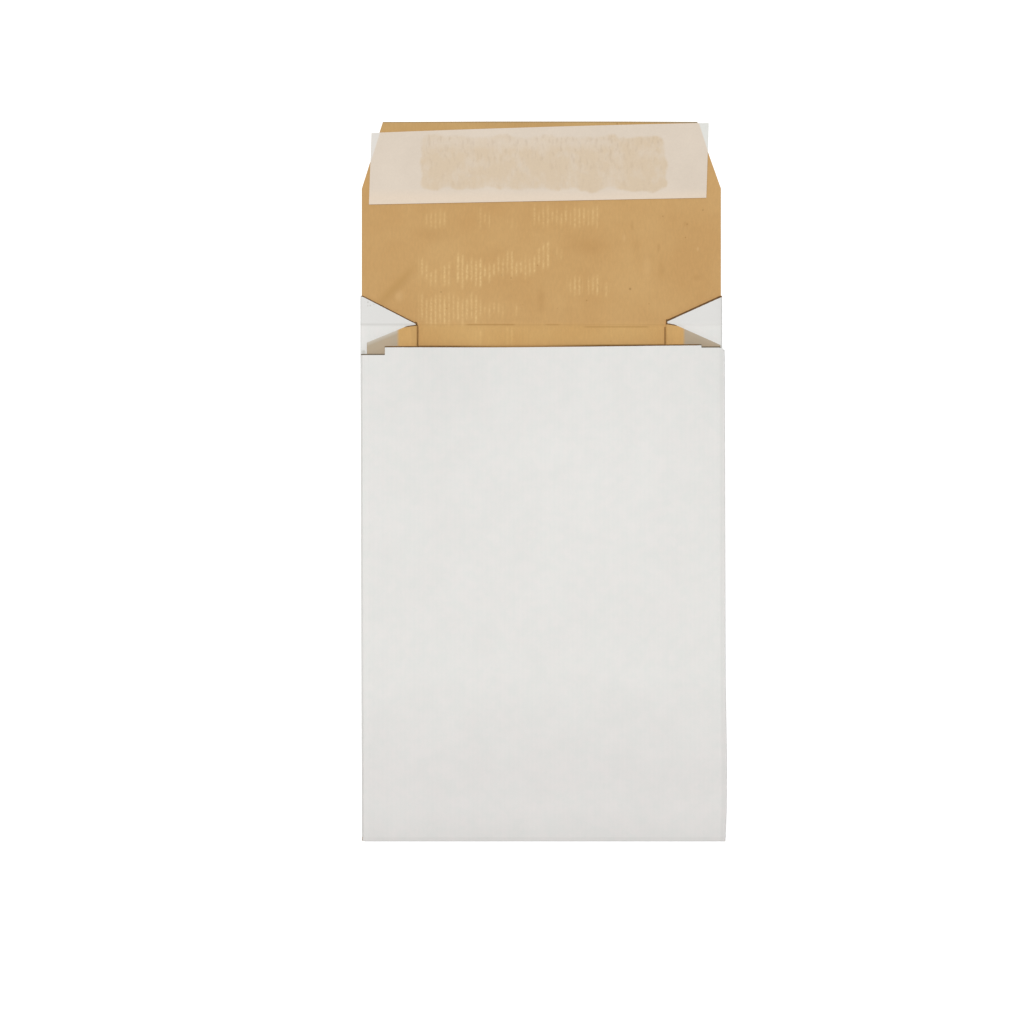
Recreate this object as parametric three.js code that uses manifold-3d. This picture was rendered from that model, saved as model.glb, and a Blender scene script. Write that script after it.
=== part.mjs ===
// Padded gusset envelope of about C5 size, lying flat on its address side with the flap open.
// Millimetres, +Z up. X runs across the envelope, +Y points from the bottom fold to the flap's tip.
// The origin is under the middle of the open envelope, on the surface that it lies on.
import * as THREE from "three";
import { mergeVertices } from "three/addons/utils/BufferGeometryUtils.js";
import Module from "manifold-3d";

// The folded board: white paper outside, brown paper inside, fine flutes between.
const BOARD = 0.8;
const PANEL_WIDTH = 162;
const PANEL_LENGTH = 230.5;
const FLAP_LENGTH = 90.5;
const END_INSET = 0.7; // the flap and the bottom fold are this much narrower at each side
const CHAMFER_ACROSS = 9.9;
const CHAMFER_ALONG = 29.5;
const SCORE_DEPTH = 0.25;
const SCORE_WIDTH = 2;
const SEAM = 1; // parts of one piece of board are run into each other by this much
const NICK = 0.3; // small cuts at the corners where the gussets start

// How it lies: the folds spring back a little, so the empty envelope is this thick.
const THICKNESS = 6.4;
const FOLD_GAP = 0.4; // clear space inside each lengthwise fold
const CREASE_HEIGHT = 3; // height of the gusset's middle crease

// The gussets, each folded inwards along its middle crease.
const GUSSET_DEPTH = 25.5;
const GUSSET_RISE = 12.8; // how far the gusset's outer fold runs on past the flap's score
const GUSSET_DROP = 7.7; // fall of the gusset's free edge from its crease to the lap's outer corner
const GUSSET_SHOULDER = 1.2; // level part of the gusset's free edge, at its outer fold
const LAP_INSET = 2.8; // the lap stops this far short of the panel's side fold
const SIDE_FLAP = 17.4; // width of the flap that folds in from the mouth panel and is glued to the lap
const SIDE_FLAP_DROP = 0.6; // the side flap's top edge is this much lower than the notch above it
const GLUE_BITE = 0.05; // the glued layers are pressed together by this much

// The mouth panel's top edge, a little out of square as it was folded.
const MOUTH_SETBACK = 9.8;
const MOUTH_SKEW = 1;
const NOTCH_WIDTH = 10.6;
const NOTCH_DEPTH_LEFT = 3.9;
const NOTCH_DEPTH_RIGHT = 1.6;

// The closure on the flap: a band of adhesive under a strip of release paper.
const ADHESIVE_WIDTH = 110;
const ADHESIVE_HEIGHT = 23.5;
const ADHESIVE_CORNER = 5;
const ADHESIVE_THICK = 0.2;
const ADHESIVE_SHIFT = 1.1;
const ADHESIVE_FROM_TIP = 18.4;
const LINER_WIDTH = 151.3;
const LINER_HEIGHT = 33.2;
const LINER_THICK = 0.15;
const LINER_SHIFT = -0.9;
const LINER_FROM_TIP = 18.9;
const LINER_TURN = 1.5; // degrees, as it was stuck down askew

const ARC_STEPS = 6;
const SCORE_STEPS = 6;
const CUT_MARGIN = 5; // cutters run this far past what they cut

const halfWidth = PANEL_WIDTH / 2;
const flapTip = (PANEL_LENGTH + FLAP_LENGTH) / 2;
const scoreY = flapTip - FLAP_LENGTH;
const bottomY = scoreY - PANEL_LENGTH;
const mouthMidY = scoreY - MOUTH_SETBACK;
const gussetTopY = scoreY + GUSSET_RISE;
const creaseX = halfWidth - GUSSET_DEPTH;
const foldRadius = (BOARD + FOLD_GAP) / 2; // radius of a fold's middle line
const flatX = halfWidth - foldRadius - BOARD / 2; // half the width of the flat between the side folds
const bottomRadius = THICKNESS / 2;
const footY = bottomY + bottomRadius; // the gussets start where the bottom fold ends
const endX = halfWidth - END_INSET;

const wasm = await Module();
wasm.setup();

function solid(geometry) {
  const bare = geometry.clone();
  for (const name of Object.keys(bare.attributes)) {
    if (name !== "position") bare.deleteAttribute(name);
  }
  const merged = mergeVertices(bare, 1e-4);
  return new wasm.Manifold(
    new wasm.Mesh({
      numProp: 3,
      vertProperties: merged.attributes.position.array,
      triVerts: new Uint32Array(merged.index.array),
    }),
  );
}

function geometryOf(manifold) {
  const mesh = manifold.getMesh();
  const geometry = new THREE.BufferGeometry();
  geometry.setAttribute("position", new THREE.BufferAttribute(mesh.vertProperties, 3));
  geometry.setIndex(new THREE.BufferAttribute(mesh.triVerts, 1));
  const faceted = geometry.toNonIndexed();
  faceted.computeVertexNormals();
  return faceted;
}

// A section drawn in X and Z, run along Y. One matrix places both ends, so that ends which meet
// do so exactly.
function alongY(shape, fromY, toY) {
  const geometry = new THREE.ExtrudeGeometry(shape, { depth: 1, bevelEnabled: false });
  const place = new THREE.Matrix4();
  place.set(1, 0, 0, 0, 0, 0, fromY - toY, toY, 0, 1, 0, 0, 0, 0, 0, 1);
  return solid(geometry.applyMatrix4(place));
}

// A section drawn in Y and Z, run along X.
function alongX(shape, fromX, toX, curveSegments) {
  const options = { depth: 1, bevelEnabled: false, curveSegments };
  const geometry = new THREE.ExtrudeGeometry(shape, options);
  const place = new THREE.Matrix4();
  place.set(0, 0, toX - fromX, fromX, 1, 0, 0, 0, 0, 1, 0, 0, 0, 0, 0, 1);
  return solid(geometry.applyMatrix4(place));
}

// An outline drawn in X and Y, run up along Z.
function upright(points, fromZ, toZ) {
  const shape = new THREE.Shape(points.map(([x, y]) => new THREE.Vector2(x, y)));
  const geometry = new THREE.ExtrudeGeometry(shape, { depth: toZ - fromZ, bevelEnabled: false });
  geometry.translate(0, 0, fromZ);
  return solid(geometry);
}

function mirrored(points) {
  return points.map(([x, y]) => [-x, y]).reverse();
}

// One step of a folded sheet's middle line: its place and the direction of its upper side.
function step(x, z, normalX, normalZ) {
  return { x, z, normalX, normalZ };
}

// A fold's middle line, from one angle to another about its centre. side is 1 where the sheet's
// upper side faces away from the centre, and -1 where it faces the centre.
function fold(centreX, centreZ, fromAngle, toAngle, side) {
  return Array.from({ length: ARC_STEPS + 1 }, (_, i) => {
    const angle = fromAngle + ((toAngle - fromAngle) * i) / ARC_STEPS;
    const x = Math.cos(angle);
    const z = Math.sin(angle);
    return step(centreX + foldRadius * x, centreZ + foldRadius * z, side * x, side * z);
  });
}

// The section of a sheet of the board that follows a middle line.
function boardSection(line) {
  const half = BOARD / 2;
  const upper = line.map((s) => new THREE.Vector2(s.x + half * s.normalX, s.z + half * s.normalZ));
  const lower = line.map((s) => new THREE.Vector2(s.x - half * s.normalX, s.z - half * s.normalZ));
  return new THREE.Shape([...lower, ...upper.reverse()]);
}

// The left half's line and its mirror image, as one sheet from side to side.
function bothSides(leftLine) {
  const rightLine = leftLine.map((s) => step(-s.x, s.z, -s.normalX, s.normalZ)).reverse();
  return [...leftLine, ...rightLine];
}

// The gusset: the address panel's side fold, the crease, and the lap beyond it.
const sideFoldX = -flatX;
const addressFoldZ = BOARD / 2 + foldRadius;
const mouthFoldZ = THICKNESS - BOARD / 2 - foldRadius;
const creaseFoldX = -(creaseX + BOARD / 2 + foldRadius);
const run = creaseFoldX - sideFoldX;

function slopeBetween(rise, offset) {
  return Math.atan2(rise, run) - Math.asin(offset / Math.hypot(run, rise));
}
const lowerSlope = slopeBetween(CREASE_HEIGHT - addressFoldZ, 2 * foldRadius);
const glueOffset = BOARD - GLUE_BITE;
const lapSlope = slopeBetween(mouthFoldZ - CREASE_HEIGHT, 2 * foldRadius + glueOffset);

function addressSheetLine() {
  const right = Math.PI / 2;
  const sideFold = fold(sideFoldX, addressFoldZ, -3 * right + lowerSlope, -right, -1);
  const crease = fold(creaseFoldX, CREASE_HEIGHT, right - lapSlope, lowerSlope - right, 1);
  const lapEndX = -(halfWidth - LAP_INSET);
  const [start] = crease;
  const lapEndZ = start.z + (start.x - lapEndX) * Math.tan(lapSlope);
  const lapEnd = step(lapEndX, lapEndZ, start.normalX, start.normalZ);
  return bothSides([lapEnd, ...crease, ...sideFold]);
}

// The mouth panel with the side flaps that fold in under it onto the laps.
function mouthSheetLine() {
  const right = Math.PI / 2;
  const sideFold = fold(sideFoldX, mouthFoldZ, 3 * right - lapSlope, right, 1);
  const [start] = sideFold;
  const edgeX = SIDE_FLAP - halfWidth;
  const edgeZ = start.z - (edgeX - start.x) * Math.tan(lapSlope);
  const edge = step(edgeX, edgeZ, start.normalX, start.normalZ);
  return bothSides([edge, ...sideFold]);
}

// The gusset's free edge: it rises from the crease to the outer fold on the flap's side, and
// falls from the crease to the lap's outer corner on the mouth's side.
const farLeft = -(halfWidth + CUT_MARGIN);
const cutInX = -(creaseX - CUT_MARGIN);
const aboveY = gussetTopY + CUT_MARGIN;
const shoulderX = GUSSET_SHOULDER - halfWidth;
const cutTipX = FOLD_GAP / 2 - creaseX;
const splitZ = CREASE_HEIGHT + FOLD_GAP / 8;
const gussetCut = [
  [cutInX, scoreY],
  [cutInX, aboveY],
  [shoulderX, aboveY],
  [shoulderX, gussetTopY],
  [cutTipX, scoreY],
];
const lapFall = GUSSET_DROP / (GUSSET_DEPTH - LAP_INSET);
const lapCut = [
  [cutInX, scoreY],
  [cutInX, aboveY],
  [farLeft, aboveY],
  [farLeft, scoreY - (GUSSET_DEPTH + CUT_MARGIN) * lapFall],
  [cutTipX, scoreY],
];

function addressSheet() {
  const body = alongY(boardSection(addressSheetLine()), footY, gussetTopY);
  const gussetCuts = [gussetCut, mirrored(gussetCut)].map((c) =>
    upright(c, addressFoldZ, splitZ),
  );
  const lapCuts = [lapCut, mirrored(lapCut)].map((c) => upright(c, splitZ, THICKNESS));
  return [...gussetCuts, ...lapCuts].reduce((kept, cutter) => kept.subtract(cutter), body);
}

function flap() {
  const half = [
    [flatX - SEAM, gussetTopY - SEAM],
    [flatX - SEAM, gussetTopY + NICK],
    [endX, gussetTopY + NICK],
    [endX, flapTip - CHAMFER_ALONG],
    [endX - CHAMFER_ACROSS, flapTip],
  ];
  return upright([...half, ...mirrored(half)], 0, BOARD);
}

// The groove pressed along the flap's hinge line, on the inside.
function flapScore() {
  const half = SCORE_WIDTH / 2;
  const top = BOARD + FOLD_GAP / 4;
  const shape = new THREE.Shape();
  shape.moveTo(scoreY - half, top);
  shape.quadraticCurveTo(scoreY, 2 * (BOARD - SCORE_DEPTH) - top, scoreY + half, top);
  return alongX(shape, shoulderX, -shoulderX, SCORE_STEPS);
}

function mouthSheet() {
  const body = alongY(boardSection(mouthSheetLine()), footY, scoreY);
  const notchX = halfWidth - NOTCH_WIDTH;
  const leftY = mouthMidY - MOUTH_SKEW / 2;
  const rightY = mouthMidY + MOUTH_SKEW / 2;
  const leftNotchY = leftY - NOTCH_DEPTH_LEFT;
  const rightNotchY = rightY - NOTCH_DEPTH_RIGHT;
  const edge = [
    [farLeft, leftNotchY],
    [-notchX, leftNotchY],
    [-notchX, leftY],
    [notchX, rightY],
    [notchX, rightNotchY],
    [-farLeft, rightNotchY],
    [-farLeft, aboveY],
    [farLeft, aboveY],
  ];
  const innerX = creaseX - CUT_MARGIN;
  const outerX = halfWidth - GUSSET_SHOULDER;
  const sideFlapCuts = [
    [-outerX, -innerX, leftNotchY - SIDE_FLAP_DROP],
    [innerX, outerX, rightNotchY - SIDE_FLAP_DROP],
  ].map(([fromX, toX, y]) => {
    const outline = [
      [fromX, y],
      [toX, y],
      [toX, aboveY],
      [fromX, aboveY],
    ];
    return upright(outline, 0, THICKNESS - BOARD - FOLD_GAP / 2);
  });
  return [upright(edge, 0, THICKNESS + CUT_MARGIN), ...sideFlapCuts].reduce(
    (kept, cutter) => kept.subtract(cutter),
    body,
  );
}

// The bottom fold, which joins the two panels with one round bend.
function bottomFold() {
  const legY = footY + SEAM;
  const section = new THREE.Shape();
  section.moveTo(legY, 0);
  section.lineTo(legY, BOARD);
  section.lineTo(footY, BOARD);
  section.absarc(footY, bottomRadius, bottomRadius - BOARD, -Math.PI / 2, Math.PI / 2, true);
  section.lineTo(legY, THICKNESS - BOARD);
  section.lineTo(legY, THICKNESS);
  section.lineTo(footY, THICKNESS);
  section.absarc(footY, bottomRadius, bottomRadius, Math.PI / 2, -Math.PI / 2, false);
  const nick = [
    [flatX - SEAM, footY - NICK],
    [halfWidth, footY - NICK],
    [halfWidth, aboveY],
    [flatX - SEAM, aboveY],
  ];
  return [nick, mirrored(nick)]
    .map((outline) => upright(outline, -SEAM, THICKNESS + SEAM))
    .reduce((kept, cutter) => kept.subtract(cutter), alongX(section, -endX, endX, 2 * ARC_STEPS));
}

const envelopeSolid = addressSheet()
  .add(flap())
  .subtract(flapScore())
  .add(mouthSheet())
  .add(bottomFold());

const whiteBoard = new THREE.MeshStandardMaterial({ color: "#e4e3e0", roughness: 0.9 });
const adhesive = new THREE.MeshStandardMaterial({ color: "#d8c7af", roughness: 0.45 });
const glassine = new THREE.MeshStandardMaterial({ color: "#ded1c1", roughness: 0.5 });

const envelope = new THREE.Mesh(geometryOf(envelopeSolid), whiteBoard);
envelope.name = "folded_board_envelope";

// Hot-melt adhesive, laid as a flat band with round ends of its own.
function adhesiveGeometry() {
  const x = ADHESIVE_WIDTH / 2;
  const y = ADHESIVE_HEIGHT / 2;
  const r = ADHESIVE_CORNER;
  const outline = new THREE.Shape();
  outline.absarc(x - r, y - r, r, 0, Math.PI / 2);
  outline.absarc(r - x, y - r, r, Math.PI / 2, Math.PI);
  outline.absarc(r - x, r - y, r, Math.PI, 1.5 * Math.PI);
  outline.absarc(x - r, r - y, r, 1.5 * Math.PI, 2 * Math.PI);
  return new THREE.ExtrudeGeometry(outline, {
    depth: ADHESIVE_THICK,
    bevelEnabled: false,
    curveSegments: ARC_STEPS,
  });
}

const adhesiveBand = new THREE.Mesh(adhesiveGeometry(), adhesive);
adhesiveBand.name = "adhesive_band";
adhesiveBand.position.set(ADHESIVE_SHIFT, flapTip - ADHESIVE_FROM_TIP, BOARD);

const liner = new THREE.Mesh(
  new THREE.BoxGeometry(LINER_WIDTH, LINER_HEIGHT, LINER_THICK).translate(0, 0, LINER_THICK / 2),
  glassine,
);
liner.name = "release_liner";
liner.position.set(LINER_SHIFT, flapTip - LINER_FROM_TIP, BOARD + ADHESIVE_THICK);
liner.rotation.z = THREE.MathUtils.degToRad(LINER_TURN);

const paddedEnvelope = new THREE.Group();
paddedEnvelope.add(envelope, adhesiveBand, liner);

export default paddedEnvelope;
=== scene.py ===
import math
import random

import bmesh
import bpy
from mathutils import Matrix, Vector


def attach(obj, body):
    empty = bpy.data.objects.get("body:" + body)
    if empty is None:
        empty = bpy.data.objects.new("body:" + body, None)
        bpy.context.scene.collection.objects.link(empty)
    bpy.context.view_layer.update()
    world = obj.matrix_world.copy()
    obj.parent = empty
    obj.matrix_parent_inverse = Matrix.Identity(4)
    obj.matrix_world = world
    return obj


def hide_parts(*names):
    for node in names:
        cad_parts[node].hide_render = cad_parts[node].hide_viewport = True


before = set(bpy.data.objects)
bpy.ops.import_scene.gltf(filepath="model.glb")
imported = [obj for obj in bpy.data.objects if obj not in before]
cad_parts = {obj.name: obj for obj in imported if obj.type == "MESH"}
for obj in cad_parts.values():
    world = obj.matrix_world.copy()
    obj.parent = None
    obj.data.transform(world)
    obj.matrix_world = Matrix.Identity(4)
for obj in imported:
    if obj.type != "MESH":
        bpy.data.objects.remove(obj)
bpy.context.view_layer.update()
bpy.ops.object.select_all(action="DESELECT")


# Camera. The envelope lies on a table and is seen from straight above, from 0.9 m, a little to the
# left of its middle and nearer its bottom fold.
mm = 0.001
CAMERA_HEIGHT = 900 * mm
CAMERA_X = -13.4 * mm
CAMERA_Y = -13.9 * mm
SENSOR = 36  # the width of the film, in Blender's own millimetres
VIEW_PER_METRE = 0.50994  # width of the view at one metre from the camera
bpy.ops.object.camera_add(location=(CAMERA_X, CAMERA_Y, CAMERA_HEIGHT), rotation=(0, 0, 0))
camera = bpy.context.object
camera.name = "overhead_camera"
camera.data.sensor_width = SENSOR
camera.data.lens = SENSOR / VIEW_PER_METRE
camera.data.clip_start = 0.01
camera.data.clip_end = 20
bpy.context.scene.camera = camera


# Studio. A white table, an even white surround, and one broad soft lamp from the upper left that
# gives the folds and cut edges their shade. The table glows as far as the camera and glossy
# surfaces see it, so that it shows white and still takes the envelope's shadow.
def linear(colour):
    """A colour written as six hex digits of sRGB, as linear values with full alpha."""
    parts = [int(colour[i : i + 2], 16) / 255 for i in (1, 3, 5)]
    bent = [p / 12.92 if p <= 0.04045 else ((p + 0.055) / 1.055) ** 2.4 for p in parts]
    return (*bent, 1)


def add(tree, kind, inputs=(), **settings):
    """Adds one shader node. inputs gives its sockets, each by a value or by another node's output."""
    made = tree.nodes.new(kind)
    for name, value in settings.items():
        setattr(made, name, value)
    for socket, value in dict(inputs).items():
        if isinstance(value, bpy.types.NodeSocket):
            tree.links.new(value, made.inputs[socket])
        else:
            made.inputs[socket].default_value = value
    return made


def new_material(name):
    """A material with an empty node tree but for its output."""
    made = bpy.data.materials.new(name)
    made.use_nodes = True
    made.node_tree.nodes.clear()
    return made, made.node_tree, made.node_tree.nodes.new("ShaderNodeOutputMaterial")


SURROUND_LEVEL = 0.36
LAMP_LEVEL = 0.64
LAMP_TILT = math.radians(-11)
LAMP_SPREAD = math.radians(20)
TABLE_DROP = 0.1 * mm
TABLE_GLOW = 0.7
world = bpy.data.worlds.new("white_surround")
bpy.context.scene.world = world
world.use_nodes = True
sky = world.node_tree
sky.nodes.clear()
path = add(sky, "ShaderNodeLightPath")
seen = add(
    sky,
    "ShaderNodeMath",
    {0: path.outputs["Is Camera Ray"], 1: path.outputs["Is Transmission Ray"]},
    operation="MAXIMUM",
)
seen = add(
    sky,
    "ShaderNodeMath",
    {0: seen.outputs[0], 1: path.outputs["Is Glossy Ray"]},
    operation="MAXIMUM",
)
level = add(sky, "ShaderNodeMapRange", {0: seen.outputs[0], 3: SURROUND_LEVEL, 4: 1.0})
backdrop = add(
    sky,
    "ShaderNodeBackground",
    {"Color": linear("#ffffff"), "Strength": level.outputs[0]},
)
sky_out = sky.nodes.new("ShaderNodeOutputWorld")
sky.links.new(backdrop.outputs[0], sky_out.inputs["Surface"])

bpy.ops.object.light_add(type="SUN", rotation=(LAMP_TILT, LAMP_TILT, 0))
lamp = bpy.context.object
lamp.name = "soft_window"
lamp.data.energy = LAMP_LEVEL * math.pi
lamp.data.angle = LAMP_SPREAD

bpy.ops.mesh.primitive_plane_add(size=6, location=(0, 0, -TABLE_DROP))
table = bpy.context.object
table.name = "white_table"
table_paint, tree, out = new_material("matt_white_table")
path = add(tree, "ShaderNodeLightPath")
seen = add(
    tree,
    "ShaderNodeMath",
    {0: path.outputs["Is Camera Ray"], 1: path.outputs["Is Transmission Ray"]},
    operation="MAXIMUM",
)
seen = add(
    tree,
    "ShaderNodeMath",
    {0: seen.outputs[0], 1: path.outputs["Is Glossy Ray"]},
    operation="MAXIMUM",
)
glow = add(tree, "ShaderNodeMath", {0: seen.outputs[0], 1: TABLE_GLOW}, operation="MULTIPLY")
paint = add(tree, "ShaderNodeBsdfDiffuse", {"Color": linear("#cfcfcf")})
shine = add(tree, "ShaderNodeEmission", {"Color": linear("#ffffff"), "Strength": glow.outputs[0]})
both = add(tree, "ShaderNodeAddShader", {0: paint.outputs[0], 1: shine.outputs[0]})
tree.links.new(both.outputs[0], out.inputs["Surface"])
table.data.materials.append(table_paint)
bpy.ops.object.select_all(action="DESELECT")


# Envelope. One blank of fine fluted board, white outside and brown inside, is creased, folded round
# the bottom, gusseted down both sides and glued where the mouth panel's side flaps meet the laps.
# It is modelled as the middle of the board, folded strip by strip, and then given its thickness.
BOARD = 0.8 * mm
NEAR = BOARD / 9  # edges and faces this near to a line count as on it
THICKNESS = 6.4 * mm  # of the folded pack
FOLD_RADIUS = 0.6 * mm  # of the side folds and creases, to the middle of the board
FLAT_X = 80.0 * mm  # where the flat of a panel ends and its side fold starts
TIP_Y = 160.8 * mm
SCORE_Y = 70.0 * mm  # where the flap hinges on the address panel
FOOT_Y = -159.1 * mm  # where the address panel turns up into the bottom fold
FOOT_RADIUS = 1.0 * mm
TOP_RADIUS = 0.45 * mm
FOOT_TOP_Y = FOOT_Y - FOOT_RADIUS + TOP_RADIUS  # where the mouth panel starts
MOUTH_Y = 60.85 * mm  # the mouth panel's free edge, at its right end
MOUTH_SKEW = 1.0 * mm  # the left end of that edge is this much lower
GUSSET_TOP_Y = 82.8 * mm  # where a gusset's free edge meets its side fold
CREASE_X = 56.5 * mm
CREASE_Z = 3.0 * mm
LAP_END_X = {-1: 78.2 * mm, 1: 79.4 * mm}
SIDE_FLAP_END_X = 63.6 * mm
LOW_FOLD_Z = 1.0 * mm  # the middle of the fold from the address panel to a gusset
HIGH_FOLD_Z = 5.4 * mm  # the middle of the fold from the mouth panel to its side flap
MOUTH_PANEL_Z = 5.9 * mm  # only the mouth panel lies higher than this, before it sags
WING_X = 50 * mm  # the gusset wings lie further out than this
GLUE_FILM = 0.02 * mm
SAG_X = -12 * mm  # where the mouth panel sags most
COLUMNS = 318  # of the grid that the flap is made from
FLUTE_COLUMNS = 4  # of them for each flute
FLUTE = FLUTE_COLUMNS * 2 * FLAT_X / COLUMNS
FLAP_ROWS = 60

# Widths of the dark strips beside the cut edges, painted for the knife's crushing and for the shadow
# in the gap along each cut, and the material slots that show them on a face whose upper side is
# white or brown.
CRUSHED_AND_SHADED = {-1: 0.5 * mm, 1: 0.8 * mm}
LAP_CRUSHED_AND_SHADED = 0.45 * mm
MOUTH_CRUSHED_AND_SHADED = 0.55 * mm
WHITE_CRUSHED_AND_SHADED_SLOT = 3
BROWN_CRUSHED_AND_SHADED_SLOT = 4

# Corners of each gusset's free edge, on the left and on the right, as X outwards and Y: the end of
# the cut at the crease, the start and the bend of the lap's edge, and the Y of its outer corner.
CUT_TIP = {-1: (55.4 * mm, 70.3 * mm), 1: (55.7 * mm, 71.9 * mm)}
LAP_START = {-1: (55.4 * mm, 69.9 * mm), 1: (55.4 * mm, 70.5 * mm)}
LAP_BEND = {-1: (60.2 * mm, 69.2 * mm), 1: (59.2 * mm, 69.9 * mm)}
LAP_CORNER_Y = {-1: 61.7 * mm, 1: 60.6 * mm}

# The painted shadow line beside each gusset's crease on the address panel: its X, and how strong it is.
CREASE_SHADES = ((-55.4 * mm, 0.15), (55.1 * mm, 0.95))

# Dark specks in the inner liner on the flap: where each lies and its radius, in millimetres.
SPECKS = (
    (39.5, 86, 0.75),
    (-45.2, 84.6, 0.5),
    (-13.8, 90.9, 0.45),
    (-17.9, 92.2, 0.4),
    (25.1, 87.7, 0.4),
    (65, 115, 0.4),
    (72.1, 121.3, 0.4),
)

# Soft dark smudges on the flap, and pale ones below zero: middle, half width, half height, strength.
SMUDGES = (
    (-0.4, 81.5, 3, 9, 0.22),
    (12, 77, 4, 7, 0.1),
    (40.3, 114.2, 1, 3.5, 0.25),
    (42.5, 105, 3, 6, 0.15),
    (52.2, 104.5, 1, 3, 0.25),
    (53.5, 95, 2.5, 7, 0.18),
    (64.5, 115, 2, 2, 0.2),
    (69, 91, 3, 2, 0.15),
    (-48, 111, 12, 6, 0.15),
    (20, 105, 14, 5, 0.15),
    (36.8, 108.8, 1.2, 2.5, -0.3),
    (47, 96, 3, 8, -0.2),
    (69.8, 103.9, 0.8, 1.5, -0.4),
    (-64, 83, 3, 4, -0.3),
)

# Where the painted shade in the score is darker: left and right ends, height and strength.
SCORE_MARKS = ((-34, -12, 70, 0.6), (1.4, 8.1, 70, 0.5), (19.3, 47.5, 69, 0.45))

# Dark marks on the white wing at the left, in the same way as the specks: four small specks, and a broad
# soft grey patch beside the notch.
WING_SPECKS = (
    (-77.8, 79.9, 0.5),
    (-76.8, 78.4, 0.4),
    (-77.9, 78.3, 0.35),
    (-75.2, 79, 0.35),
    (-79.8, 57.6, 1.3),
)

# The inner liner is plain brown kraft paper: faint clouds, fibres and specks, paler along the flutes
# that show through, and greyed by dried glue on the laps.
kraft, tree, out = new_material("brown_kraft_liner")
place = add(tree, "ShaderNodeTexCoord").outputs["Object"]
spot = add(tree, "ShaderNodeSeparateXYZ", {0: place})
clouds = add(tree, "ShaderNodeTexNoise", {"Vector": place, "Scale": 1 / (28 * mm), "Detail": 4})
cloudy = add(tree, "ShaderNodeMapRange", {0: clouds.outputs[0], 1: 0.35, 2: 0.65})
tone = add(
    tree,
    "ShaderNodeMix",
    {0: cloudy.outputs[0], 6: linear("#c59b63"), 7: linear("#cba36b")},
    data_type="RGBA",
)
stretch = add(tree, "ShaderNodeMapping", {"Vector": place, "Scale": (1, 0.3, 1)})
fibres = add(
    tree,
    "ShaderNodeTexNoise",
    {"Vector": stretch.outputs[0], "Scale": 1 / (0.9 * mm), "Detail": 3, "Roughness": 0.7},
)
fibrous = add(tree, "ShaderNodeMapRange", {0: fibres.outputs[0], 1: 0.25, 2: 0.75, 3: 0.95, 4: 1.05})
tone = add(
    tree,
    "ShaderNodeMix",
    {0: 1.0, 6: tone.outputs[2], 7: fibrous.outputs[0]},
    data_type="RGBA",
    blend_type="MULTIPLY",
)
grain = add(tree, "ShaderNodeTexVoronoi", {"Vector": place, "Scale": 1 / (7 * mm)})
speck = add(tree, "ShaderNodeMapRange", {0: grain.outputs["Distance"], 1: 0.07, 2: 0.03})
tone = add(
    tree,
    "ShaderNodeMix",
    {0: speck.outputs[0], 6: tone.outputs[2], 7: linear("#b58a54")},
    data_type="RGBA",
)
for speck_x, speck_y, radius in SPECKS:
    off = add(
        tree,
        "ShaderNodeVectorMath",
        {0: place, 1: (speck_x * mm, speck_y * mm, BOARD)},
        operation="DISTANCE",
    )
    speck = add(
        tree,
        "ShaderNodeMapRange",
        {0: off.outputs["Value"], 1: radius * mm, 2: 0.3 * radius * mm, 4: 0.55},
    )
    tone = add(
        tree,
        "ShaderNodeMix",
        {0: speck.outputs[0], 6: tone.outputs[2], 7: linear("#8f6a3c")},
        data_type="RGBA",
    )
for middle_x, middle_y, across, along, strength in SMUDGES:
    off = add(
        tree,
        "ShaderNodeVectorMath",
        {0: place, 1: (middle_x * mm, middle_y * mm, 0)},
        operation="SUBTRACT",
    )
    off = add(
        tree,
        "ShaderNodeVectorMath",
        {0: off.outputs[0], 1: (1 / (across * mm), 1 / (along * mm), 0)},
        operation="MULTIPLY",
    )
    off = add(tree, "ShaderNodeVectorMath", {0: off.outputs[0]}, operation="LENGTH")
    smudge = add(
        tree,
        "ShaderNodeMapRange",
        {0: off.outputs["Value"], 1: 1, 2: 0.1, 4: abs(strength)},
        interpolation_type="SMOOTHSTEP",
    )
    tone = add(
        tree,
        "ShaderNodeMix",
        {0: smudge.outputs[0], 6: tone.outputs[2], 7: linear("#a97c45" if strength > 0 else "#dbb681")},
        data_type="RGBA",
    )
# Painted shade along the dent in the flap's lower left.
dented = add(tree, "ShaderNodeAttribute", attribute_name="dent_shade")
tone = add(
    tree,
    "ShaderNodeMix",
    {0: dented.outputs["Fac"], 6: tone.outputs[2], 7: linear("#bf965d")},
    data_type="RGBA",
)
marked = add(tree, "ShaderNodeAttribute", attribute_name="flute_mark")
rubs = add(tree, "ShaderNodeTexNoise", {"Vector": place, "Scale": 1 / (1.1 * mm), "Detail": 2})
rubbed = add(tree, "ShaderNodeMapRange", {0: rubs.outputs[0], 1: 0.35, 2: 0.65, 3: 0.35, 4: 1.15})
marked = add(tree, "ShaderNodeMath", {0: marked.outputs["Fac"], 1: rubbed.outputs[0]}, operation="MULTIPLY")
tone = add(
    tree,
    "ShaderNodeMix",
    {0: marked.outputs[0], 6: tone.outputs[2], 7: linear("#e4c186")},
    data_type="RGBA",
)
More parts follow.
